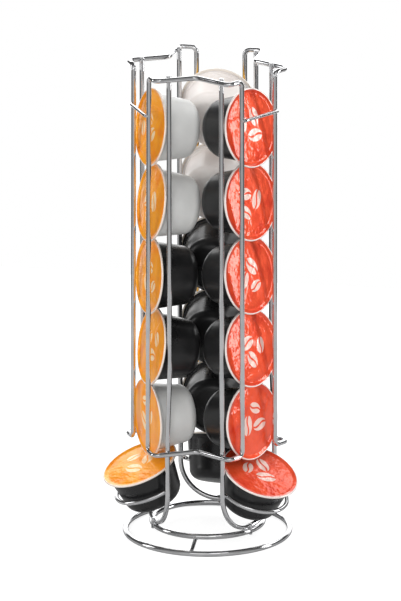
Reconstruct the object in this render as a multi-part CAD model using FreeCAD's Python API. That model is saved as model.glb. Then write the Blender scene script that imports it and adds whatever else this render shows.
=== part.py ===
import FreeCAD, Part
import math
import os

# Free-standing wire rack for coffee capsules: three upright channels set 120 degrees
# apart, each with six capsules, on a base of two rings.
# Millimetres, +Z up.  Origin: the rack's centre line at the height of the table.
# A column's own directions: n outward from the centre line, t to its right as seen
# from outside, z up.  Column angles are counted from -Y towards +X.

# ---------------------------------------------------------------- driving dimensions
WIRE_D = 3.4            # long wires and corner loops
RING_D = 3.8            # both base rings
BAR_D = 2.3             # front bars
CRADLE_D = 3.0          # cradle wires
STRUT_D = 2.5           # struts between the base rings
PIN_D = 2.5             # foot pins

COLUMNS = {"right": 60.0, "back": 180.0, "left": -60.0}
CORNERS = {"front": 0.0, "right": 120.0, "left": -120.0}

OUTER_RING_R = 56.5     # centre line
OUTER_RING_FLAT = 0.15  # depth of the flat worn on the underside
INNER_RING_R = 38.2     # centre line
INNER_RING_Z = 8.1
STRUT_ANGLES = {"front": 0.0, "right": 135.0, "left": -135.0}

LEG_N = 37.6            # plane of a U frame
LEG_T = 26.7            # half the spacing of its legs, and the radius of its bottom
U_BOTTOM_Z = 11.4       # centre line at the lowest point
LEG_TOP_Z = 333.8       # cut ends of the legs
# above the lower rail the legs stand a little further in: left, right leg of each column
LEG_SET = {"right": (0.8, 2.8), "back": (1.6, 1.6), "left": (0.0, 1.8)}
SET_Z = (76.0, 122.0)   # where the set starts and is full
SET_R = 700.0

ARM_T = 29.7            # loop arms beside the column
# outer uprights, n at the upper and at the lower rail: the loops lean out a little
GUARD_N = {"left": (46.6, 48.2), "right": (46.3, 46.7), "back": (46.4, 47.4)}
GUARD_T = 16.8          # half the spacing of a column's outer uprights
RAIL_TOP_Z = 331.3
RAIL_BOTTOM_Z = 67.7
BEND_R = 4.0            # bends at the ends of a rail
CORNER_R = 5.7          # bend at the innermost corner of a rail

BAR_Z = 304.3
BAR_HALF = 17.2
BAR_SETDOWN = 0.5

CRADLE_N = 42.4         # centre of the cradle's arc
CRADLE_Z = 37.5
CRADLE_R = 23.65
CRADLE_TILT = 68.0      # its plane's normal above the horizontal, degrees
CRADLE_END = 7.3        # straight ends behind the arc's centre

PIN_N = 39.4
PIN_Z0, PIN_Z1 = 5.9, 13.4

# capsule, as depth behind the foil's seat and radius
FLANGE_R = 27.0
FLANGE_BACK = 0.9
BEAD_FRONT = 0.3
BEAD_R = 26.0
FOIL_R = 25.8
FOIL_T = 0.2
BODY_R0 = 23.4
BODY_R1 = 20.3
BODY_DEPTH = 23.0
BASE_R = 12.8
BASE_DEPTH = 30.5
BASE_CROWN = 0.5

# capsules, top one first: n, t, z of the foil seat's centre, lift of its normal above
# the horizontal and turn about z (towards t), degrees
CAPSULES = {
    "left": [(40.22, -0.70, 291.25, 8.3, 3.1), (40.34, 0.70, 238.84, 9.8, 1.1), (41.56, -0.70, 187.13, 6.0, 1.0),
             (40.54, 0.81, 137.15, 9.9, 0.4), (43.23, -0.56, 86.03, -0.2, 2.6), (49.02, 0.26, 53.68, 65.6, 9.9)],
    "right": [(39.81, 0.44, 294.44, 10.8, 1.6), (39.62, -0.05, 242.97, 10.7, 2.4), (39.55, 0.00, 191.20, 10.7, 2.4),
              (39.92, 0.47, 139.51, 10.5, 1.6), (41.10, 0.00, 87.80, 5.4, 1.9), (48.20, 0.18, 52.80, 63.3, -4.4)],
    "back": [(40.67, 0.03, 293.02, 8.8, 0.9), (40.75, 0.00, 241.19, 8.9, -0.5), (40.69, 0.01, 189.40, 8.8, 0.7),
             (40.80, 0.00, 137.60, 8.0, -1.0), (42.00, -0.00, 86.00, 4.0, 0.5), (48.41, 0.01, 52.32, 65.5, -0.0)],
}

# ---------------------------------------------------------------- helpers
V = FreeCAD.Vector
PARTS = {}


def axes(angle):
    a = math.radians(angle)
    return V(math.sin(a), -math.cos(a), 0), V(math.cos(a), math.sin(a), 0), V(0, 0, 1)


def at(angle, n, t, z):
    en, et, ez = axes(angle)
    return en * n + et * t + ez * z


def edges_along(points, radii, closed=False):
    """Straight runs joined by tangent arcs; radii holds one radius per corner."""
    count = len(points)
    corners = range(count) if closed else range(1, count - 1)
    cut = {}
    for i in corners:
        p, q, r = points[i - 1], points[i], points[(i + 1) % count]
        d1, d2 = (p - q), (r - q)
        d1.normalize()
        d2.normalize()
        half = d1.getAngle(d2) / 2
        rad = radii[i]
        run = rad / math.tan(half)
        b = d1 + d2
        b.normalize()
        centre = q + b * (rad / math.sin(half))
        cut[i] = (q + d1 * run, centre - b * rad, q + d2 * run)
    out = []
    segments = range(count) if closed else range(count - 1)
    for i in segments:
        j = (i + 1) % count
        a = cut[i][2] if i in cut else points[i]
        b = cut[j][0] if j in cut else points[j]
        if (b - a).Length > 1e-6:
            out.append(Part.LineSegment(a, b).toShape())
        if j in cut:
            out.append(Part.Arc(*cut[j]).toShape())
    return out


def sweep(edges, diameter):
    """A round wire along the edges, which start with a straight run."""
    path = Part.Wire(edges)
    first = edges[0]
    start = first.Vertexes[0].Point
    along = first.tangentAt(first.FirstParameter)
    section = Part.Wire([Part.makeCircle(diameter / 2, start, along)])
    solid = path.makePipeShell([section], True, False)
    if solid.ShapeType != "Solid":
        solid = Part.Solid(Part.Shell(solid.Faces))
    if solid.Volume < 0:
        solid.reverse()
    return solid


def turned(edges):
    """The same run of edges, the other way round."""
    out = []
    for e in reversed(edges):
        a, b = e.valueAt(e.FirstParameter), e.valueAt(e.LastParameter)
        if "Line" in e.Curve.TypeId:
            out.append(Part.LineSegment(b, a).toShape())
        else:
            mid = e.valueAt((e.FirstParameter + e.LastParameter) / 2)
            out.append(Part.Arc(b, mid, a).toShape())
    return out


def sweep_both(left, bottom, right):
    """U of round wire: down the left leg, round the bottom and up the right leg."""
    return sweep(turned(left) + [bottom] + right, WIRE_D)


def rod(a, b, diameter):
    return Part.makeCylinder(diameter / 2, (b - a).Length, a, b - a)


def keep(name, shape):
    PARTS[name] = shape


# ---------------------------------------------------------------- base
outer_z = RING_D / 2 - OUTER_RING_FLAT
outer = Part.makeTorus(OUTER_RING_R, RING_D / 2, V(0, 0, outer_z))
outer = outer.cut(Part.makeBox(200, 200, 5, V(-100, -100, -5)))
keep("outer_ring", outer.Solids[0])
inner = Part.makeTorus(INNER_RING_R, RING_D / 2, V(0, 0, INNER_RING_Z))
keep("inner_ring", inner.Solids[0] if inner.Solids else inner)

for side, angle in STRUT_ANGLES.items():
    bar = rod(at(angle, INNER_RING_R + 0.5, 0, INNER_RING_Z - 0.35),
              at(angle, OUTER_RING_R - 0.5, 0, outer_z + 0.35), STRUT_D)
    bar = bar.cut(PARTS["inner_ring"]).cut(PARTS["outer_ring"])
    bar = max(bar.Solids, key=lambda s: s.Volume)
    keep("ring_strut_" + side, bar)

# ---------------------------------------------------------------- one U frame, cradle,
# front bar and foot pin for each column
u_centre_z = U_BOTTOM_Z + LEG_T


def leg(angle, t, inward):
    """Edges of one leg from the U's bend up to its cut end, set inward above the rail."""
    points = [at(angle, LEG_N, t, u_centre_z), at(angle, LEG_N, t, SET_Z[0]),
              at(angle, LEG_N - inward, t, SET_Z[1]), at(angle, LEG_N - inward, t, LEG_TOP_Z)]
    if inward == 0:
        points = [points[0], points[-1]]
    return edges_along(points, [0] + [SET_R] * (len(points) - 2) + [0])


for side, angle in COLUMNS.items():
    left_end = at(angle, LEG_N, -LEG_T, u_centre_z)
    right_end = at(angle, LEG_N, LEG_T, u_centre_z)
    set_left, set_right = LEG_SET[side]
    u_frame = sweep_both(leg(angle, -LEG_T, set_left),
                         Part.Arc(left_end, at(angle, LEG_N, 0, U_BOTTOM_Z), right_end).toShape(),
                         leg(angle, LEG_T, set_right))
    keep("u_frame_" + side, u_frame)

    tilt = math.radians(CRADLE_TILT)
    en, et, ez = axes(angle)
    down_out = en * math.sin(tilt) - ez * math.cos(tilt)
    hub = at(angle, CRADLE_N, 0, CRADLE_Z)
    a0 = hub - down_out * CRADLE_END - et * CRADLE_R
    a1 = hub - et * CRADLE_R
    a2 = hub + down_out * CRADLE_R
    a3 = hub + et * CRADLE_R
    a4 = hub - down_out * CRADLE_END + et * CRADLE_R
    keep("cradle_" + side, sweep([Part.LineSegment(a0, a1).toShape(),
                                  Part.Arc(a1, a2, a3).toShape(),
                                  Part.LineSegment(a3, a4).toShape()], CRADLE_D))

    high, low = GUARD_N[side]
    guard_n = high + (low - high) * (RAIL_TOP_Z - BAR_Z) / (RAIL_TOP_Z - RAIL_BOTTOM_Z)
    bar_n = guard_n + WIRE_D / 2 + BAR_D / 2 - BAR_SETDOWN
    keep("front_bar_" + side, rod(at(angle, bar_n, -BAR_HALF, BAR_Z),
                                  at(angle, bar_n, BAR_HALF, BAR_Z), BAR_D))

    pin = Part.makeCylinder(PIN_D / 2, PIN_Z1 - PIN_Z0, at(angle, PIN_N, 0, PIN_Z0), V(0, 0, 1))
    pin = pin.cut(u_frame).cut(PARTS["inner_ring"])
    keep("foot_pin_" + side, max(pin.Solids, key=lambda s: s.Volume))

# ---------------------------------------------------------------- closed corner loops
inner_n = ARM_T / math.tan(math.radians(60))     # where the arms of two columns meet
for name, angle in CORNERS.items():
    one = angle - 60.0      # column on the corner's left, seen from outside
    two = angle + 60.0      # column on its right
    n_one = next(GUARD_N[s] for s, a in COLUMNS.items() if abs((a - one) % 360.0) < 1e-6)
    n_two = next(GUARD_N[s] for s, a in COLUMNS.items() if abs((a - two) % 360.0) < 1e-6)
    points, radii = [], []
    for z, order, i in ((RAIL_TOP_Z, 1, 0), (RAIL_BOTTOM_Z, -1, 1)):
        rail = [(at(one, n_one[i], GUARD_T, z), BEND_R), (at(one, n_one[i], ARM_T, z), BEND_R),
                (at(one, inner_n, ARM_T, z), CORNER_R),
                (at(two, n_two[i], -ARM_T, z), BEND_R), (at(two, n_two[i], -GUARD_T, z), BEND_R)]
        for p, r in rail[::order]:
            points.append(p)
            radii.append(r)
    middle = (points[0] + points[-1]) * 0.5
    points.insert(0, middle)
    radii.insert(0, 0)
    # open path from the middle of one upright, right round and back to it
    ring = edges_along(points + [middle], radii + [0])
    half = len(ring) // 2
    first = sweep(ring[:half], WIRE_D)
    second = sweep(ring[half:], WIRE_D)
    loop = first.fuse(second)
    keep("corner_loop_" + name, loop.removeSplitter().Solids[0])


# ---------------------------------------------------------------- capsules
def cup_shape():
    """Cup and contents as one solid, turned about +Z: foil seat at z = 0, base below."""
    f = Part.LineSegment
    rim = FLANGE_R - 0.35
    r = [V(0, 0, 0), V(BEAD_R, 0, 0), V(BEAD_R, 0, BEAD_FRONT), V(rim, 0, BEAD_FRONT),
         V(FLANGE_R, 0, BEAD_FRONT - 0.3), V(FLANGE_R, 0, -FLANGE_BACK + 0.4),
         V(rim, 0, -FLANGE_BACK), V(BODY_R0 + 0.8, 0, -FLANGE_BACK),
         V(BODY_R0, 0, -FLANGE_BACK - 0.8), V(BODY_R1, 0, -BODY_DEPTH)]
    edges = [f(r[i], r[i + 1]).toShape() for i in range(len(r) - 1)]
    # rounded shoulder: a quarter of an ellipse in four tangent-looking arcs
    steps = 8
    ring = []
    for k in range(steps + 1):
        a = math.radians(90.0 * k / steps)
        ring.append(V(BASE_R + (BODY_R1 - BASE_R) * math.cos(a), 0,
                      -BODY_DEPTH - (BASE_DEPTH - BODY_DEPTH) * math.sin(a)))
    for k in range(0, steps, 2):
        edges.append(Part.Arc(ring[k], ring[k + 1], ring[k + 2]).toShape())
    crown = V(0, 0, -BASE_DEPTH - BASE_CROWN)
    ball = (BASE_R ** 2 + BASE_CROWN ** 2) / (2 * BASE_CROWN)     # shallow spherical base
    half = math.asin(BASE_R / ball) / 2
    crown_mid = V(ball * math.sin(half), 0, crown.z + ball * (1 - math.cos(half)))
    edges.append(Part.Arc(ring[-1], crown_mid, crown).toShape())
    edges.append(f(crown, r[0]).toShape())
    face = Part.Face(Part.Wire(edges))
    body = face.revolve(V(0, 0, 0), V(0, 0, 1), 360)
    body = body.Solids[0] if body.Solids else body
    if body.Volume < 0:
        body.reverse()
    return body


def foil_shape():
    return Part.makeCylinder(FOIL_R, FOIL_T)


def capsule_frame(angle, n, t, z, elevation, turn):
    """Placement: +Z of the capsule along the foil's outward normal."""
    en, et, ez = axes(angle)
    y, e = math.radians(turn), math.radians(elevation)
    out = en * math.cos(y) + et * math.sin(y)
    side = et * math.cos(y) - en * math.sin(y)
    normal = out * math.cos(e) + ez * math.sin(e)
    up = ez * math.cos(e) - out * math.sin(e)
    p = at(angle, n, t, z)
    return FreeCAD.Matrix(side.x, up.x, normal.x, p.x,
                          side.y, up.y, normal.y, p.y,
                          side.z, up.z, normal.z, p.z,
                          0, 0, 0, 1)


cup, foil = cup_shape(), foil_shape()
for side, angle in COLUMNS.items():
    for i, (n, t, z, lift, turn) in enumerate(CAPSULES[side]):
        m = capsule_frame(angle, n, t, z, lift, turn)
        keep("cup_%s_%d" % (side, i + 1), cup.transformed(m))
        keep("lid_%s_%d" % (side, i + 1), foil.transformed(m))

# ---------------------------------------------------------------- output
os.makedirs("parts", exist_ok=True)
for name, shape in PARTS.items():
    solids = shape.Solids
    print("%-20s %-6s valid=%s solids=%d volume=%.1f" % (name, shape.ShapeType, shape.isValid(), len(solids), shape.Volume))
    shape.exportStep("parts/%s.step" % name)
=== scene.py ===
import math

import bpy
import numpy as np
from mathutils import Matrix, Vector, noise


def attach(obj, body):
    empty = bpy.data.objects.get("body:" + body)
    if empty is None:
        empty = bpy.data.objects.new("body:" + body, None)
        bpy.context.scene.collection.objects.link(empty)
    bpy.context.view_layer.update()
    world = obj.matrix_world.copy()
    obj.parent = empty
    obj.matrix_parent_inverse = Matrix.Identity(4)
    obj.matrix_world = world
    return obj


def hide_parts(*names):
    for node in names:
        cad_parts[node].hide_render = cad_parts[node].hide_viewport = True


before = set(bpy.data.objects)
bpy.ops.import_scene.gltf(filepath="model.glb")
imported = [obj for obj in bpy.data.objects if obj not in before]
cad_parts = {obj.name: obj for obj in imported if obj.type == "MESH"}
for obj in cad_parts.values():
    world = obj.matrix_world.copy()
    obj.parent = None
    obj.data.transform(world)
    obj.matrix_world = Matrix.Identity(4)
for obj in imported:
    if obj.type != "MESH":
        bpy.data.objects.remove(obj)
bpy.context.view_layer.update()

MM = 0.001

# ------------------------------------------------------------------ dimensions, as in the CAD, mm
WIRE_D, RING_D, BAR_D, CRADLE_D, STRUT_D, PIN_D = 3.4, 3.8, 2.3, 3.0, 2.5, 2.5
COLUMNS = {"right": 60.0, "back": 180.0, "left": -60.0}
CORNERS = {"front": 0.0, "right": 120.0, "left": -120.0}
OUTER_RING_R, OUTER_RING_FLAT, INNER_RING_R, INNER_RING_Z = 56.5, 0.15, 38.2, 8.1
STRUT_ANGLES = {"front": 0.0, "right": 135.0, "left": -135.0}
LEG_N, LEG_T, U_BOTTOM_Z, LEG_TOP_Z = 37.6, 26.7, 11.4, 333.8
LEG_SET = {"right": (0.8, 2.8), "back": (1.6, 1.6), "left": (0.0, 1.8)}
SET_Z, SET_R = (76.0, 122.0), 700.0
ARM_T, GUARD_T = 29.7, 16.8
GUARD_N = {"left": (46.6, 48.2), "right": (46.3, 46.7), "back": (46.4, 47.4)}    # at the upper, lower rail
RAIL_TOP_Z, RAIL_BOTTOM_Z, BEND_R, CORNER_R = 331.3, 67.7, 4.0, 5.7
BAR_Z, BAR_HALF, BAR_SETDOWN = 304.3, 17.2, 0.5
CRADLE_N, CRADLE_Z, CRADLE_R, CRADLE_TILT, CRADLE_END = 42.4, 37.5, 23.65, 68.0, 7.3
PIN_N, PIN_Z0, PIN_Z1 = 39.4, 5.9, 13.4
FLANGE_R, FLANGE_BACK, BEAD_FRONT = 27.0, 0.9, 0.3
BODY_R0, BODY_R1, BODY_DEPTH, BASE_R, BASE_DEPTH, BASE_CROWN = 23.4, 20.3, 23.0, 12.8, 30.5, 0.5
CAPSULES = {
    "left": [(40.22, -0.70, 291.25, 8.3, 3.1), (40.34, 0.70, 238.84, 9.8, 1.1), (41.56, -0.70, 187.13, 6.0, 1.0),
             (40.54, 0.81, 137.15, 9.9, 0.4), (43.23, -0.56, 86.03, -0.2, 2.6), (49.02, 0.26, 53.68, 65.6, 9.9)],
    "right": [(39.81, 0.44, 294.44, 10.8, 1.6), (39.62, -0.05, 242.97, 10.7, 2.4), (39.55, 0.00, 191.20, 10.7, 2.4),
              (39.92, 0.47, 139.51, 10.5, 1.6), (41.10, 0.00, 87.80, 5.4, 1.9), (48.20, 0.18, 52.80, 63.3, -4.4)],
    "back": [(40.67, 0.03, 293.02, 8.8, 0.9), (40.75, 0.00, 241.19, 8.9, -0.5), (40.69, 0.01, 189.40, 8.8, 0.7),
             (40.80, 0.00, 137.60, 8.0, -1.0), (42.00, -0.00, 86.00, 4.0, 0.5), (48.41, 0.01, 52.32, 65.5, -0.0)],
}
CUP_COLOUR = {"left": "wwbbwb", "right": "bbbbbb", "back": "wwbbbb"}
LID_SLOT = {"left": "foil_orange", "right": "foil_red", "back": "foil_amber"}


def axes(angle):
    a = math.radians(angle)
    return Vector((math.sin(a), -math.cos(a), 0)), Vector((math.cos(a), math.sin(a), 0)), Vector((0, 0, 1))


def at(angle, n, t, z):
    en, et, ez = axes(angle)
    return (en * n + et * t + ez * z) * MM


# ------------------------------------------------------------------ mesh helpers
def new_object(name, verts, faces, smooth=True):
    mesh = bpy.data.meshes.new(name)
    mesh.from_pydata([tuple(v) for v in verts], [], faces)
    mesh.update()
    if smooth:
        mesh.polygons.foreach_set("use_smooth", [True] * len(mesh.polygons))
    ob = bpy.data.objects.new(name, mesh)
    bpy.context.scene.collection.objects.link(ob)
    return ob


def corner_route(points, radii, closed=False, step=4.0):
    """Points along straight runs and tangent arcs; step is the arc's step in degrees."""
    count = len(points)
    out = []
    for i in range(count):
        p, q, r = points[i - 1], points[i], points[(i + 1) % count]
        if (not closed and i in (0, count - 1)) or radii[i] == 0:
            out.append(q.copy())
            continue
        d1, d2 = (p - q).normalized(), (r - q).normalized()
        half = d1.angle(d2) / 2
        rad = radii[i] * MM
        b = (d1 + d2).normalized()
        centre = q + b * (rad / math.sin(half))
        a, c = q + d1 * (rad / math.tan(half)), q + d2 * (rad / math.tan(half))
        u = (a - centre).normalized()
        w = (c - centre)
        w = (w - u * w.dot(u)).normalized()
        sweep = math.pi - 2 * half
        n = max(2, int(math.degrees(sweep) / step) + 1)
        for k in range(n + 1):
            t = sweep * k / n
            out.append(centre + (u * math.cos(t) + w * math.sin(t)) * rad)
    clean = [out[0]]
    for p in out[1:]:
        if (p - clean[-1]).length > 1e-6:
            clean.append(p)
    return clean


def densify(points, longest, closed=False):
    out = []
    n = len(points)
    for i in range(n if closed else n - 1):
        a, b = points[i], points[(i + 1) % n]
        k = max(1, int(math.ceil((b - a).length / longest)))
        for j in range(k):
            out.append(a.lerp(b, j / k))
    if not closed:
        out.append(points[-1])
    return out


def tube(name, points, diameter, closed=False, around=28, bevel=0.35):
    """Round wire along the points, with slightly rounded cut ends."""
    n = len(points)
    tangents = []
    for i in range(n):
        a = points[i - 1] if (closed or i) else points[i]
        b = points[(i + 1) % n] if (closed or i < n - 1) else points[i]
        tangents.append((b - a).normalized())
    helper = Vector((0, 0, 1)) if abs(tangents[0].z) < 0.9 else Vector((1, 0, 0))
    normal = (helper - tangents[0] * helper.dot(tangents[0])).normalized()
    frames = []
    for i in range(n):
        if i:
            q = tangents[i - 1].rotation_difference(tangents[i])
            normal = q @ normal
            normal = (normal - tangents[i] * normal.dot(tangents[i])).normalized()
        frames.append((points[i], tangents[i], normal.copy(), tangents[i].cross(normal)))
    r = diameter / 2 * MM
    twist = 0.0
    if closed:
        q = tangents[-1].rotation_difference(tangents[0])
        back = q @ normal
        a0, b0 = frames[0][2], frames[0][3]
        twist = math.atan2(back.dot(b0), back.dot(a0))
    rings = []
    if not closed:
        bev = min(bevel * MM, r * 0.6)
        p, t, u, v = frames[0]
        rings.append((p, r - bev, u, v, 0))
        rings.append((p + t * bev * 0.3, r - bev * 0.3, u, v, 0))
        frames[0] = (p + t * bev, t, u, v)
        p, t, u, v = frames[-1]
        tail = [(p - t * bev * 0.3, r - bev * 0.3, u, v, 0), (p, r - bev, u, v, 0)]
        frames[-1] = (p - t * bev, t, u, v)
    for i, (p, t, u, v) in enumerate(frames):
        rings.append((p, r, u, v, -twist * i / n if closed else 0))
    if not closed:
        rings += tail
    verts = []
    for p, rad, u, v, tw in rings:
        for k in range(around):
            a = 2 * math.pi * k / around + tw
            verts.append(p + (u * math.cos(a) + v * math.sin(a)) * rad)
    faces = []
    m = len(rings)
    for i in range(m if closed else m - 1):
        j = (i + 1) % m
        for k in range(around):
            l = (k + 1) % around
            faces.append((i * around + k, i * around + l, j * around + l, j * around + k))
    if not closed:
        verts.append(rings[0][0])
        verts.append(rings[-1][0])
        first, last = len(verts) - 2, len(verts) - 1
        for k in range(around):
            l = (k + 1) % around
            faces.append((first, l, k))
            faces.append((last, (m - 1) * around + k, (m - 1) * around + l))
    return new_object(name, verts, faces)


def revolve(name, profile, around=128, matrix=None, closed_axis=True):
    """Profile of (radius, z) in mm, turned about Z; points at radius 0 close the shape."""
    verts, faces, index = [], [], []
    for r, z in profile:
        if r < 1e-6:
            index.append([len(verts)])
            verts.append(Vector((0, 0, z * MM)))
        else:
            row = []
            for k in range(around):
                a = 2 * math.pi * k / around
                row.append(len(verts))
                verts.append(Vector((r * math.cos(a) * MM, r * math.sin(a) * MM, z * MM)))
            index.append(row)
    for a, b in zip(index, index[1:]):
        for k in range(around):
            l = (k + 1) % around
            if len(a) == 1:
                faces.append((a[0], b[l], b[k]))
            elif len(b) == 1:
                faces.append((a[k], a[l], b[0]))
            else:
                faces.append((a[k], a[l], b[l], b[k]))
    ob = new_object(name, verts, faces)
    if matrix is not None:
        ob.matrix_world = matrix
    return ob


# ------------------------------------------------------------------ materials
def material(name):
    m = bpy.data.materials.new(name)
    m.use_nodes = True
    nt = m.node_tree
    return m, nt, nt.nodes["Principled BSDF"]


def ramp(nt, stops, interpolation="LINEAR"):
    r = nt.nodes.new("ShaderNodeValToRGB")
    r.color_ramp.interpolation = interpolation
    e = r.color_ramp.elements
    while len(e) > 1:
        e.remove(e[-1])
    e[0].position, e[0].color = stops[0][0], (*stops[0][1], 1)
    for p, c in stops[1:]:
        s = e.new(p)
        s.color = (*c, 1)
    return r


def noise_node(nt, coords, scale, detail=3.0, rough=0.5):
    n = nt.nodes.new("ShaderNodeTexNoise")
    n.inputs["Scale"].default_value = scale
    n.inputs["Detail"].default_value = detail
    n.inputs["Roughness"].default_value = rough
    nt.links.new(coords, n.inputs["Vector"])
    return n


def chrome():
    m, nt, b = material("wire_chrome")
    tc = nt.nodes.new("ShaderNodeTexCoord")
    b.inputs["Metallic"].default_value = 1.0
    fine = noise_node(nt, tc.outputs["Object"], 900.0, 4.0, 0.6)
    broad = noise_node(nt, tc.outputs["Object"], 60.0, 3.0)
    col = ramp(nt, [(0.3, (0.66, 0.665, 0.68)), (0.62, (0.79, 0.79, 0.80))])
    nt.links.new(broad.outputs["Fac"], col.inputs["Fac"])
    nt.links.new(col.outputs["Color"], b.inputs["Base Color"])
    rr = nt.nodes.new("ShaderNodeMapRange")
    rr.inputs["To Min"].default_value = 0.04
    rr.inputs["To Max"].default_value = 0.10
    nt.links.new(fine.outputs["Fac"], rr.inputs["Value"])
    nt.links.new(rr.outputs["Result"], b.inputs["Roughness"])
    bump = nt.nodes.new("ShaderNodeBump")
    bump.inputs["Strength"].default_value = 0.12
    bump.inputs["Distance"].default_value = 0.0002
    nt.links.new(broad.outputs["Fac"], bump.inputs["Height"])
    nt.links.new(bump.outputs["Normal"], b.inputs["Normal"])
    return m


def plastic(name, low, high, rough, sss=0.0):
    m, nt, b = material(name)
    tc = nt.nodes.new("ShaderNodeTexCoord")
    broad = noise_node(nt, tc.outputs["Object"], 35.0, 4.0, 0.55)
    fine = noise_node(nt, tc.outputs["Object"], 1400.0, 2.0)
    col = ramp(nt, [(0.35, low), (0.65, high)])
    nt.links.new(broad.outputs["Fac"], col.inputs["Fac"])
    nt.links.new(col.outputs["Color"], b.inputs["Base Color"])
    rr = nt.nodes.new("ShaderNodeMapRange")
    rr.inputs["To Min"].default_value = rough[0]
    rr.inputs["To Max"].default_value = rough[1]
    nt.links.new(broad.outputs["Fac"], rr.inputs["Value"])
    nt.links.new(rr.outputs["Result"], b.inputs["Roughness"])
    bump = nt.nodes.new("ShaderNodeBump")
    bump.inputs["Strength"].default_value = 0.06
    bump.inputs["Distance"].default_value = 0.0002
    nt.links.new(fine.outputs["Fac"], bump.inputs["Height"])
    nt.links.new(bump.outputs["Normal"], b.inputs["Normal"])
    if sss:
        b.inputs["Subsurface Weight"].default_value = sss
        b.inputs["Subsurface Radius"].default_value = (1.0, 0.9, 0.8)
        b.inputs["Subsurface Scale"].default_value = 0.002
    return m


def scalar(nt, operation, first, second=0.0, third=0.0, clamp=False):
    n = nt.nodes.new("ShaderNodeMath")
    n.operation = operation
    n.use_clamp = clamp
    for socket, value in zip(n.inputs, (first, second, third)):
        if isinstance(value, (int, float)):
            socket.default_value = value
        else:
            nt.links.new(value, socket)
    return n.outputs["Value"]


def blend_colour(nt, factor, one, two):
    mix = nt.nodes.new("ShaderNodeMix")
    mix.data_type = "RGBA"
    nt.links.new(factor, mix.inputs["Factor"])
    for socket, value in (("A", one), ("B", two)):
        if isinstance(value, tuple):
            mix.inputs[socket].default_value = (*value, 1)
        else:
            nt.links.new(value, mix.inputs[socket])
    return mix.outputs["Result"]


def bean(nt, coords, x, y, turn, half_length, half_width):
    """Mask of one printed coffee bean: an oval with an S-shaped crease left open."""
    place = nt.nodes.new("ShaderNodeMapping")
    place.vector_type = "TEXTURE"
    place.inputs["Location"].default_value = (x, y, 0)
    place.inputs["Rotation"].default_value = (0, 0, math.radians(turn))
    place.inputs["Scale"].default_value = (half_width, half_length, 1)
    nt.links.new(coords, place.inputs["Vector"])
    sep = nt.nodes.new("ShaderNodeSeparateXYZ")
    nt.links.new(place.outputs["Vector"], sep.inputs["Vector"])
    far = nt.nodes.new("ShaderNodeVectorMath")
    far.operation = "LENGTH"
    nt.links.new(place.outputs["Vector"], far.inputs[0])
    oval = scalar(nt, "MULTIPLY_ADD", far.outputs["Value"], -14.0, 14.0, clamp=True)
    wave = scalar(nt, "SINE", scalar(nt, "MULTIPLY", sep.outputs["Y"], 3.0))
    side = scalar(nt, "ABSOLUTE", scalar(nt, "MULTIPLY_ADD", wave, 0.22, sep.outputs["X"]))
    crease = scalar(nt, "MULTIPLY_ADD", side, 16.0, -2.2, clamp=True)
    return scalar(nt, "MULTIPLY", oval, crease)


def foil(name, base, deep, print_colour, rim, coat, beans):
    """Lacquered foil: radius, pattern and print come from the lid's own flat map."""
    m, nt, b = material(name)
    uv = nt.nodes.new("ShaderNodeUVMap")
    uv.uv_map = "flat"
    # the map holds x and y in units of the flange radius
    length = nt.nodes.new("ShaderNodeVectorMath")
    length.operation = "LENGTH"
    nt.links.new(uv.outputs["UV"], length.inputs[0])
    blotch = noise_node(nt, uv.outputs["UV"], 1.9, 3.0, 0.5)
    col = ramp(nt, [(0.30, deep), (0.52, base), (0.75, tuple(min(1, c * 1.06 + 0.015) for c in base))])
    nt.links.new(blotch.outputs["Fac"], col.inputs["Fac"])
    last = col.outputs["Color"]
    mask = None
    for x, y, turn, half_length, half_width in beans:
        one = bean(nt, uv.outputs["UV"], x, y, turn, half_length, half_width)
        mask = one if mask is None else scalar(nt, "MAXIMUM", mask, one)
    last = blend_colour(nt, scalar(nt, "MULTIPLY", mask, 0.85), last, print_colour)
    # pale rim: the bare edge of the foil, folded over the flange
    edge = nt.nodes.new("ShaderNodeMapRange")
    edge.inputs["From Min"].default_value = 0.960
    edge.inputs["From Max"].default_value = 0.968
    nt.links.new(length.outputs["Value"], edge.inputs["Value"])
    last = blend_colour(nt, edge.outputs["Result"], last, rim)
    nt.links.new(last, b.inputs["Base Color"])
    b.inputs["Metallic"].default_value = 0.35
    b.inputs["Specular IOR Level"].default_value = 0.15
    rr = nt.nodes.new("ShaderNodeMapRange")
    rr.inputs["To Min"].default_value = 0.30
    rr.inputs["To Max"].default_value = 0.42
    nt.links.new(blotch.outputs["Fac"], rr.inputs["Value"])
    nt.links.new(rr.outputs["Result"], b.inputs["Roughness"])
    b.inputs["Coat Weight"].default_value = coat
    b.inputs["Coat Roughness"].default_value = 0.09
    b.inputs["Coat IOR"].default_value = 1.5
    fine = noise_node(nt, uv.outputs["UV"], 5.2, 2.2, 0.5)
    bump = nt.nodes.new("ShaderNodeBump")
    bump.inputs["Strength"].default_value = 0.6
    bump.inputs["Distance"].default_value = 0.0007
    nt.links.new(fine.outputs["Fac"], bump.inputs["Height"])
    nt.links.new(bump.outputs["Normal"], b.inputs["Normal"])
    nt.links.new(bump.outputs["Normal"], b.inputs["Coat Normal"])
    return m


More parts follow.
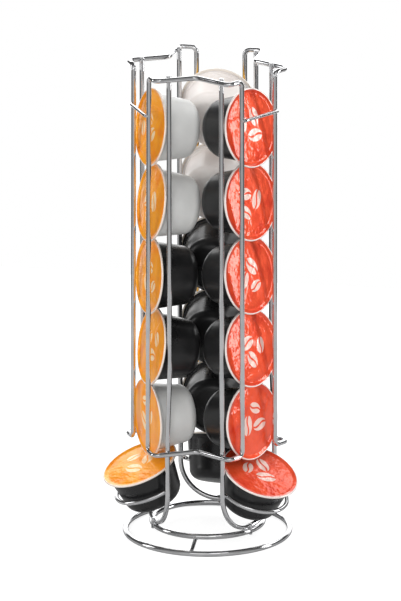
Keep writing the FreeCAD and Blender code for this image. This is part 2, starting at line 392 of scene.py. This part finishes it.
CHROME = chrome()
WHITE = plastic("cup_white_plastic", (0.60, 0.60, 0.59), (0.68, 0.68, 0.665), (0.26, 0.38), 0.15)
# the same white plastic again, made brighter and warmer: painted warm light for the back column's cups, standing in
# for light bounced off the lids
WHITE_WITH_PAINTED_WARM_LIGHT = plastic("cup_warm_white_plastic", (0.76, 0.70, 0.665), (0.82, 0.775, 0.745), (0.26, 0.38), 0.15)
BLACK = plastic("cup_black_plastic", (0.008, 0.008, 0.0085), (0.014, 0.014, 0.0145), (0.22, 0.34))
FOILS = {
    "foil_orange": foil("foil_orange_lacquer", (1.0, 0.38, 0.016), (0.95, 0.26, 0.008), (0.97, 0.80, 0.52), (0.86, 0.76, 0.68), 0.65,
                        [(-0.20, -0.10, 28, 0.27, 0.17), (0.24, 0.02, -38, 0.24, 0.155), (-0.02, 0.42, 80, 0.20, 0.13)]),
    "foil_red": foil("foil_red_lacquer", (0.93, 0.095, 0.030), (0.76, 0.045, 0.014), (0.96, 0.78, 0.70), (0.90, 0.80, 0.76), 1.0,
                     [(0.02, -0.22, 62, 0.27, 0.17), (0.22, 0.20, -12, 0.25, 0.16), (-0.25, 0.22, -48, 0.22, 0.14)]),
    "foil_amber": foil("foil_amber_lacquer", (0.90, 0.47, 0.05), (0.74, 0.33, 0.03), (0.98, 0.86, 0.60), (0.87, 0.80, 0.72), 0.6,
                       [(-0.18, 0.12, -20, 0.26, 0.17), (0.22, -0.12, 40, 0.25, 0.16)]),
}


def finish_piece(ob, mat, body, slot_name, *nodes):
    ob.data.materials.clear()
    ob.data.materials.append(mat)
    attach(ob, body)
    if nodes:
        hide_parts(*nodes)
    return ob


def wire_piece(ob, *nodes):
    return finish_piece(ob, CHROME, "rack", "wire", *nodes)


# ------------------------------------------------------------------ rack
def ring(name, radius, z, diameter, flat=0.0, steps=192, around=32):
    verts, faces = [], []
    r = diameter / 2
    for i in range(steps):
        a = 2 * math.pi * i / steps
        for k in range(around):
            b = 2 * math.pi * k / around
            zz = z + r * math.sin(b)
            if flat:
                zz = max(zz, 0.0)
            rad = radius + r * math.cos(b)
            verts.append(Vector((rad * math.sin(a), -rad * math.cos(a), zz)) * MM)
    for i in range(steps):
        j = (i + 1) % steps
        for k in range(around):
            l = (k + 1) % around
            faces.append((i * around + k, j * around + k, j * around + l, i * around + l))
    return new_object(name, verts, faces)


wire_piece(ring("base_ring_outer", OUTER_RING_R, RING_D / 2 - OUTER_RING_FLAT, RING_D, OUTER_RING_FLAT), "outer_ring")
wire_piece(ring("base_ring_inner", INNER_RING_R, INNER_RING_Z, RING_D), "inner_ring")
outer_z = RING_D / 2 - OUTER_RING_FLAT
for side, angle in STRUT_ANGLES.items():
    wire_piece(tube("strut_" + side, densify([at(angle, INNER_RING_R + 0.8, 0, INNER_RING_Z - 0.45),
                                              at(angle, OUTER_RING_R - 0.8, 0, outer_z + 0.45)], 3 * MM), STRUT_D),
               "ring_strut_" + side)

u_centre_z = U_BOTTOM_Z + LEG_T


def leg_points(angle, t, inward):
    pts = [at(angle, LEG_N, t, u_centre_z), at(angle, LEG_N, t, SET_Z[0]),
           at(angle, LEG_N - inward, t, SET_Z[1]), at(angle, LEG_N - inward, t, LEG_TOP_Z)]
    if inward == 0:
        return [pts[0], pts[-1]]
    return corner_route(pts, [0, SET_R, SET_R, 0], step=0.4)


def bar_place(side):
    high, low = GUARD_N[side]
    guard_n = high + (low - high) * (RAIL_TOP_Z - BAR_Z) / (RAIL_TOP_Z - RAIL_BOTTOM_Z)
    return guard_n + WIRE_D / 2 + BAR_D / 2 - BAR_SETDOWN


for side, angle in COLUMNS.items():
    en, et, ez = axes(angle)
    set_left, set_right = LEG_SET[side]
    left = leg_points(angle, -LEG_T, set_left)[::-1]
    right = leg_points(angle, LEG_T, set_right)
    bottom = []
    for k in range(1, 60):
        a = math.pi * k / 60
        bottom.append(at(angle, LEG_N, -LEG_T * math.cos(a), u_centre_z - LEG_T * math.sin(a)))
    wire_piece(tube("channel_" + side, densify(left + bottom + right, 12 * MM), WIRE_D), "u_frame_" + side)

    tilt = math.radians(CRADLE_TILT)
    down_out = en * math.sin(tilt) - ez * math.cos(tilt)
    hub = at(angle, CRADLE_N, 0, CRADLE_Z)
    arc = [hub + (down_out * math.sin(math.pi * k / 60) - et * math.cos(math.pi * k / 60)) * CRADLE_R * MM
           for k in range(61)]
    arc = [hub - (down_out * CRADLE_END + et * CRADLE_R) * MM] + arc + [hub - (down_out * CRADLE_END - et * CRADLE_R) * MM]
    wire_piece(tube("cradle_wire_" + side, arc, CRADLE_D), "cradle_" + side)

    bar_n = bar_place(side)
    wire_piece(tube("crossbar_" + side, densify([at(angle, bar_n, -BAR_HALF, BAR_Z), at(angle, bar_n, BAR_HALF, BAR_Z)], 4 * MM),
                    BAR_D, bevel=0.3), "front_bar_" + side)
    wire_piece(tube("pin_" + side, densify([at(angle, PIN_N, 0, PIN_Z0), at(angle, PIN_N, 0, PIN_Z1)], 2 * MM), PIN_D,
                    bevel=0.5), "foot_pin_" + side)

inner_n = ARM_T / math.tan(math.radians(60))
for name, angle in CORNERS.items():
    one, two = angle - 60.0, angle + 60.0
    n_one = next(GUARD_N[s] for s, a in COLUMNS.items() if abs((a - one) % 360.0) < 1e-6)
    n_two = next(GUARD_N[s] for s, a in COLUMNS.items() if abs((a - two) % 360.0) < 1e-6)
    points, radii = [], []
    for z, order, i in ((RAIL_TOP_Z, 1, 0), (RAIL_BOTTOM_Z, -1, 1)):
        rail = [(at(one, n_one[i], GUARD_T, z), BEND_R), (at(one, n_one[i], ARM_T, z), BEND_R),
                (at(one, inner_n, ARM_T, z), CORNER_R),
                (at(two, n_two[i], -ARM_T, z), BEND_R), (at(two, n_two[i], -GUARD_T, z), BEND_R)]
        for p, r in rail[::order]:
            points.append(p)
            radii.append(r)
    path = densify(corner_route(points, radii, closed=True), 12 * MM, closed=True)
    wire_piece(tube("guard_loop_" + name, path, WIRE_D, closed=True), "corner_loop_" + name)


# ------------------------------------------------------------------ weld beads
def bead(name, centre, along, length, width, seed):
    """Small uneven weld bead, longer along one direction."""
    along = along.normalized()
    side = along.orthogonal().normalized()
    up = along.cross(side)
    verts, faces = [], []
    rows, cols = 12, 20
    for i in range(rows + 1):
        a = math.pi * i / rows
        for k in range(cols):
            b = 2 * math.pi * k / cols
            p = along * (math.cos(a) * length / 2) + (side * math.cos(b) + up * math.sin(b)) * (math.sin(a) ** 0.8 * width / 2)
            d = 1 + 0.03 * noise.noise(Vector((p.x * 0.9 + seed, p.y * 0.9, p.z * 0.9)))
            verts.append(centre + p * (d * MM))
    for i in range(rows):
        for k in range(cols):
            l = (k + 1) % cols
            faces.append((i * cols + k, (i + 1) * cols + k, (i + 1) * cols + l, i * cols + l))
    ob = new_object(name, verts, faces)
    return wire_piece(ob)


count = 0
for side, angle in COLUMNS.items():
    en, et, ez = axes(angle)
    set_left, set_right = LEG_SET[side]
    for sign, inward in ((-1, set_left), (1, set_right)):
        for z, off in ((RAIL_TOP_Z, inward), (RAIL_BOTTOM_Z, 0.0)):
            p = at(angle, LEG_N - off, sign * (LEG_T + ARM_T) / 2, z)
            bead("weld_rail_%d" % count, p, ez.cross(et), 2.8, 1.4, count)
            count += 1
        bead("weld_bar_%d" % count, at(angle, bar_place(side) - BAR_D / 2, sign * GUARD_T, BAR_Z), et, 2.8, 2.2, count)
        count += 1
        tilt = math.radians(CRADLE_TILT)
        down_out = en * math.sin(tilt) - ez * math.cos(tilt)
        t = LEG_N - CRADLE_N
        z_cross = CRADLE_Z - math.cos(tilt) / math.sin(tilt) * t
        bead("weld_cradle_%d" % count, at(angle, LEG_N, sign * (CRADLE_R + LEG_T) / 2, z_cross), down_out, 3.2, 2.2, count)
        count += 1
    bead("weld_foot_%d" % count, at(angle, PIN_N - 0.9, 0, (U_BOTTOM_Z + INNER_RING_Z) / 2), et, 4.4, 2.2, count)
    count += 1
for side, angle in STRUT_ANGLES.items():
    en, et, ez = axes(angle)
    bead("weld_strut_%d" % count, at(angle, INNER_RING_R + 1.7, 0, INNER_RING_Z - 0.9), et, 3.6, 2.2, count)
    count += 1
    bead("weld_strut_%d" % count, at(angle, OUTER_RING_R - 1.7, 0, outer_z + 0.8), et, 3.6, 2.2, count)
    count += 1


# ------------------------------------------------------------------ capsules
def capsule_matrix(angle, n, t, z, elevation, turn):
    en, et, ez = axes(angle)
    y, e = math.radians(turn), math.radians(elevation)
    out = en * math.cos(y) + et * math.sin(y)
    side = et * math.cos(y) - en * math.sin(y)
    normal = out * math.cos(e) + ez * math.sin(e)
    up = ez * math.cos(e) - out * math.sin(e)
    m = Matrix.Identity(4)
    for i, v in enumerate((side, up, normal, at(angle, n, t, z))):
        m[0][i], m[1][i], m[2][i] = v
    return m


def cup_profile():
    # flange, a low collar behind it, then the tapering wall
    p = [(25.6, -FLANGE_BACK + 0.05), (25.2, -FLANGE_BACK), (BODY_R0 + 1.3, -FLANGE_BACK), (BODY_R0 + 0.95, -FLANGE_BACK - 0.12),
         (BODY_R0 + 0.80, -FLANGE_BACK - 0.45), (BODY_R0 + 0.74, -FLANGE_BACK - 1.75), (BODY_R0 + 0.60, -FLANGE_BACK - 2.05),
         (BODY_R0 + 0.25, -FLANGE_BACK - 2.22), (BODY_R0 - 0.08, -FLANGE_BACK - 2.40), (BODY_R0 - 0.16, -FLANGE_BACK - 2.7)]
    first = BODY_R0 - 0.18
    for k in range(1, 24):
        z = -FLANGE_BACK - 2.8 - (BODY_DEPTH - FLANGE_BACK - 2.8) * k / 24
        p.append((first + (BODY_R1 - first) * k / 24, z))
    for k in range(0, 19):
        a = math.radians(90.0 * k / 18)
        p.append((BASE_R + (BODY_R1 - BASE_R) * math.cos(a), -BODY_DEPTH - (BASE_DEPTH - BODY_DEPTH) * math.sin(a)))
    ball = (BASE_R ** 2 + BASE_CROWN ** 2) / (2 * BASE_CROWN)
    for k in range(1, 7):
        r = BASE_R * (1 - k / 6)
        p.append((r, -BASE_DEPTH - BASE_CROWN + ball - math.sqrt(ball * ball - r * r)))
    return p


def lid_piece(name, matrix, seed):
    """Foil sealed over the flange: pillow, crinkles, a moat inside the bead, edge folded back."""
    rows = [(0.0, 0.0)]
    rows += [(r, 0.0) for r in np.linspace(1.2, 25.2, 34)]
    profile_tail = [(25.55, 0.03), (25.85, 0.17), (26.25, 0.26), (26.6, 0.22), (26.88, 0.02), (27.0, -0.3), (26.98, -0.7),
                    (26.8, -0.98), (26.4, -1.04), (25.7, -0.98)]
    around = 168
    verts, faces, uvs = [], [], []
    index = []
    off = Vector((seed * 7.31, seed * 3.17, 0))
    spin = math.radians(seed * 67.0 + 20.0)     # the print stands at another angle on each capsule
    cs, sn = math.cos(spin), math.sin(spin)

    def height(x, y, r):
        base = 0.30 - 0.95 * (min(r, 23.4) / 23.4) ** 3
        if r > 23.4:
            base += 0.55 * ((r - 23.4) / 1.8) ** 1.6
        fade = max(0.0, min(1.0, (25.2 - r) / 3.0))
        p = Vector((x, y, 0)) * 0.085 + off
        soft = noise.noise(p * 0.7) * 0.22 + noise.noise(p * 1.35 + Vector((3.3, 7.7, 0))) * 0.075 + noise.noise(p * 2.6) * 0.022
        ang = math.atan2(y, x)
        radial = noise.noise(Vector((math.cos(ang) * 5.5, math.sin(ang) * 5.5, r * 0.05)) + off)
        radial = (1 - abs(radial) * 2.4) * 0.07 * max(0.0, min(1.0, (r - 15.0) / 7.0))
        crease = noise.noise(p * 1.7 + Vector((9.1, 2.2, 0)))
        crease = -0.07 * math.exp(-(crease / 0.09) ** 2)
        return min(base + (soft + radial + crease) * fade, 0.34)

    for r, _ in rows:
        if r == 0:
            index.append([len(verts)])
            verts.append(Vector((0, 0, height(0.001, 0.0, 0.0))) * MM)
            uvs.append((0.0, 0.0))
        else:
            row = []
            for k in range(around):
                a = 2 * math.pi * k / around
                x, y = r * math.cos(a), r * math.sin(a)
                row.append(len(verts))
                verts.append(Vector((x, y, height(x, y, r))) * MM)
                uvs.append(((x * cs + y * sn) / FLANGE_R, (y * cs - x * sn) / FLANGE_R))
            index.append(row)
    for i, (r, z) in enumerate(profile_tail):
        row = []
        for k in range(around):
            a = 2 * math.pi * k / around
            x, y = r * math.cos(a), r * math.sin(a)
            row.append(len(verts))
            verts.append(Vector((x, y, z)) * MM)
            q = max(r, 26.2) if i > 2 else r
            uvs.append((q * math.cos(a - spin) / FLANGE_R, q * math.sin(a - spin) / FLANGE_R))
        index.append(row)
    for a, b in zip(index, index[1:]):
        for k in range(around):
            l = (k + 1) % around
            if len(a) == 1:
                faces.append((a[0], b[k], b[l]))
            else:
                faces.append((a[k], b[k], b[l], a[l]))
    ob = new_object(name, verts, faces)
    layer = ob.data.uv_layers.new(name="flat")
    loops = np.empty(len(ob.data.loops), dtype=np.int32)
    ob.data.loops.foreach_get("vertex_index", loops)
    flat = np.array(uvs, dtype=np.float32)[loops]
    layer.data.foreach_set("uv", flat.ravel())
    ob.matrix_world = matrix
    return ob


seed = 0
for side, angle in COLUMNS.items():
    for i, (n, t, z, lift, turn) in enumerate(CAPSULES[side]):
        m = capsule_matrix(angle, n, t, z, lift, turn)
        body = "capsule_%s_%d" % (side, i + 1)
        white = CUP_COLOUR[side][i] == "w"
        cup = revolve("shell_%s_%d" % (side, i + 1), cup_profile(), matrix=m)
        # the back column's white cups take the brighter, warmer copy of the white plastic: painted light
        pale = WHITE_WITH_PAINTED_WARM_LIGHT if side == "back" else WHITE
        finish_piece(cup, pale if white else BLACK, body, "cup_white" if white else "cup_black", "cup_%s_%d" % (side, i + 1))
        lid = lid_piece("foil_%s_%d" % (side, i + 1), m, seed)
        finish_piece(lid, FOILS[LID_SLOT[side]], body, LID_SLOT[side], "lid_%s_%d" % (side, i + 1))
        seed += 1

# ------------------------------------------------------------------ floor, lights, camera
floor_mat, nt, b = material("studio_floor")
tc = nt.nodes.new("ShaderNodeTexCoord")
grain = noise_node(nt, tc.outputs["Object"], 3.0, 2.0)
col = ramp(nt, [(0.0, (0.37, 0.37, 0.37)), (1.0, (0.39, 0.39, 0.39))])
nt.links.new(grain.outputs["Fac"], col.inputs["Fac"])
nt.links.new(col.outputs["Color"], b.inputs["Base Color"])
b.inputs["Roughness"].default_value = 0.9
b.inputs["Specular IOR Level"].default_value = 0.1
b.inputs["Emission Color"].default_value = (1, 1, 1, 1)
path = nt.nodes.new("ShaderNodeLightPath")
# the table is brighter than the gloss sees it, and sends some light up
bounce = scalar(nt, "MULTIPLY_ADD", path.outputs["Is Diffuse Ray"], 0.42, 0.06)
nt.links.new(scalar(nt, "MULTIPLY_ADD", path.outputs["Is Camera Ray"], 0.74, bounce), b.inputs["Emission Strength"])
size = 0.6
floor = new_object("studio_floor", [Vector((-size, -size, 0)), Vector((size, -size, 0)), Vector((size, size, 0)), Vector((-size, size, 0))],
                   [(0, 1, 2, 3)], smooth=False)
floor.data.materials.append(floor_mat)


def area(name, where, target, w, h, power, colour=(1, 1, 1)):
    light = bpy.data.lights.new(name, "AREA")
    light.shape = "RECTANGLE"
    light.size, light.size_y = w, h
    light.energy = power
    light.color = colour
    ob = bpy.data.objects.new(name, light)
    bpy.context.scene.collection.objects.link(ob)
    ob.location = where
    ob.rotation_mode = "QUATERNION"
    ob.rotation_quaternion = (Vector(target) - Vector(where)).to_track_quat("-Z", "Y")
    return ob


middle = (0, 0, 0.17)


def spot(azimuth, elevation, distance, z=0.17):
    """A place round the rack: azimuth 0 is in front, 90 to the right."""
    az, el = math.radians(azimuth), math.radians(elevation)
    return (distance * math.sin(az) * math.cos(el), -distance * math.cos(az) * math.cos(el), z + distance * math.sin(el))


def softbox(name, azimuth, elevation, distance, w, h, radiance, colour=(1, 1, 1), z=0.17):
    ob = area(name, spot(azimuth, elevation, distance, z), (0, 0, z), w, h, math.pi * w * h * radiance, colour)
    ob.visible_camera = False
    return ob


softbox("box_right", 99, 10, 1.25, 0.22, 0.72, 7.0)
softbox("box_left", -78, 14, 1.25, 0.26, 0.80, 3.5)
softbox("box_top", 20, 80, 1.30, 0.9, 0.9, 2.0).visible_glossy = False
softbox("box_fill", -4, 5, 1.60, 0.8, 0.6, 3.6).visible_glossy = False
softbox("box_fill_left", -54, 20, 1.50, 0.8, 0.7, 2.9).visible_glossy = False
softbox("box_back_right", 138, 35, 1.30, 0.74, 0.52, 1.9)
softbox("box_back_left", -156, 36, 1.30, 0.80, 0.60, 1.7)
softbox("box_low_front", 8, 24, 1.60, 1.1, 0.35, 1.2)
softbox("box_front", 30, 42, 1.8, 0.7, 0.5, 1.3)

world = bpy.data.worlds.new("studio")
bpy.context.scene.world = world
world.use_nodes = True
nt = world.node_tree
world_out = nt.nodes["World Output"]
room = nt.nodes["Background"]               # what diffuse surfaces gather
room.inputs["Color"].default_value = (1, 1, 1, 1)
room.inputs["Strength"].default_value = 0.66
paper = nt.nodes.new("ShaderNodeBackground")    # what the camera sees behind the floor
paper.inputs["Color"].default_value = (1, 1, 1, 1)
paper.inputs["Strength"].default_value = 1.0
studio = nt.nodes.new("ShaderNodeBackground")   # what gloss reflects: dark sides, pale back, grey front
tc = nt.nodes.new("ShaderNodeTexCoord")
facing = nt.nodes.new("ShaderNodeVectorMath")
facing.operation = "DOT_PRODUCT"
nt.links.new(tc.outputs["Generated"], facing.inputs[0])
facing.inputs[1].default_value = (math.sin(math.radians(10.0)), -math.cos(math.radians(10.0)), 0.0)
unit = nt.nodes.new("ShaderNodeMapRange")
unit.inputs["From Min"].default_value = -1.0
unit.inputs["From Max"].default_value = 1.0
nt.links.new(facing.outputs["Value"], unit.inputs["Value"])
walls = ramp(nt, [(0.0, (2.30,) * 3), (0.045, (2.00,) * 3), (0.088, (1.10,) * 3), (0.104, (0.85,) * 3), (0.124, (0.08,) * 3), (0.60, (0.10,) * 3),
                  (0.78, (0.30,) * 3), (1.0, (0.48,) * 3)], "EASE")
nt.links.new(unit.outputs["Result"], walls.inputs["Fac"])
nt.links.new(walls.outputs["Color"], studio.inputs["Color"])
path = nt.nodes.new("ShaderNodeLightPath")
first = nt.nodes.new("ShaderNodeMixShader")
nt.links.new(path.outputs["Is Glossy Ray"], first.inputs["Fac"])
nt.links.new(room.outputs["Background"], first.inputs[1])
nt.links.new(studio.outputs["Background"], first.inputs[2])
second = nt.nodes.new("ShaderNodeMixShader")
nt.links.new(path.outputs["Is Camera Ray"], second.inputs["Fac"])
nt.links.new(first.outputs["Shader"], second.inputs[1])
nt.links.new(paper.outputs["Background"], second.inputs[2])
nt.links.new(second.outputs["Shader"], world_out.inputs["Surface"])
scene = bpy.context.scene
scene.view_settings.view_transform = "Standard"
scene.view_settings.look = "None"

CAM_AZ, CAM_EL, CAM_D, CAM_ROLL = 11.7, 16.3, 5.1519, 0.08
FOCAL, CX, CY = 7560.0, 207.3, 264.6        # image points; the point the aim falls on
AIM = Vector((0, 0, 0.19081))
a, e, ro = math.radians(CAM_AZ), math.radians(CAM_EL), math.radians(CAM_ROLL)
back = Vector((math.sin(a) * math.cos(e), -math.cos(a) * math.cos(e), math.sin(e)))
right = Vector((math.cos(a), math.sin(a), 0))
up = back.cross(right)
ddx, ddy = 200.5 - CX, 300.5 - CY
u = (ddx * math.cos(ro) + ddy * math.sin(ro)) / FOCAL
v = (-ddx * math.sin(ro) + ddy * math.cos(ro)) / FOCAL
d = (-back + right * u - up * v).normalized()
zax = -d
xr = right * math.cos(ro) - up * math.sin(ro)
xr = (xr - zax * xr.dot(zax)).normalized()
yr = zax.cross(xr)
cam_data = bpy.data.cameras.new("camera")
cam_data.sensor_fit = "AUTO"
cam_data.sensor_width = 24.0
cam_data.lens = 24.0 * FOCAL / 601.0
cam_data.clip_start, cam_data.clip_end = 0.1, 50.0
cam = bpy.data.objects.new("camera", cam_data)
bpy.context.scene.collection.objects.link(cam)
rot = Matrix((xr, yr, zax)).transposed().to_4x4()
cam.matrix_world = Matrix.Translation(AIM + back * CAM_D) @ rot
bpy.context.scene.camera = cam
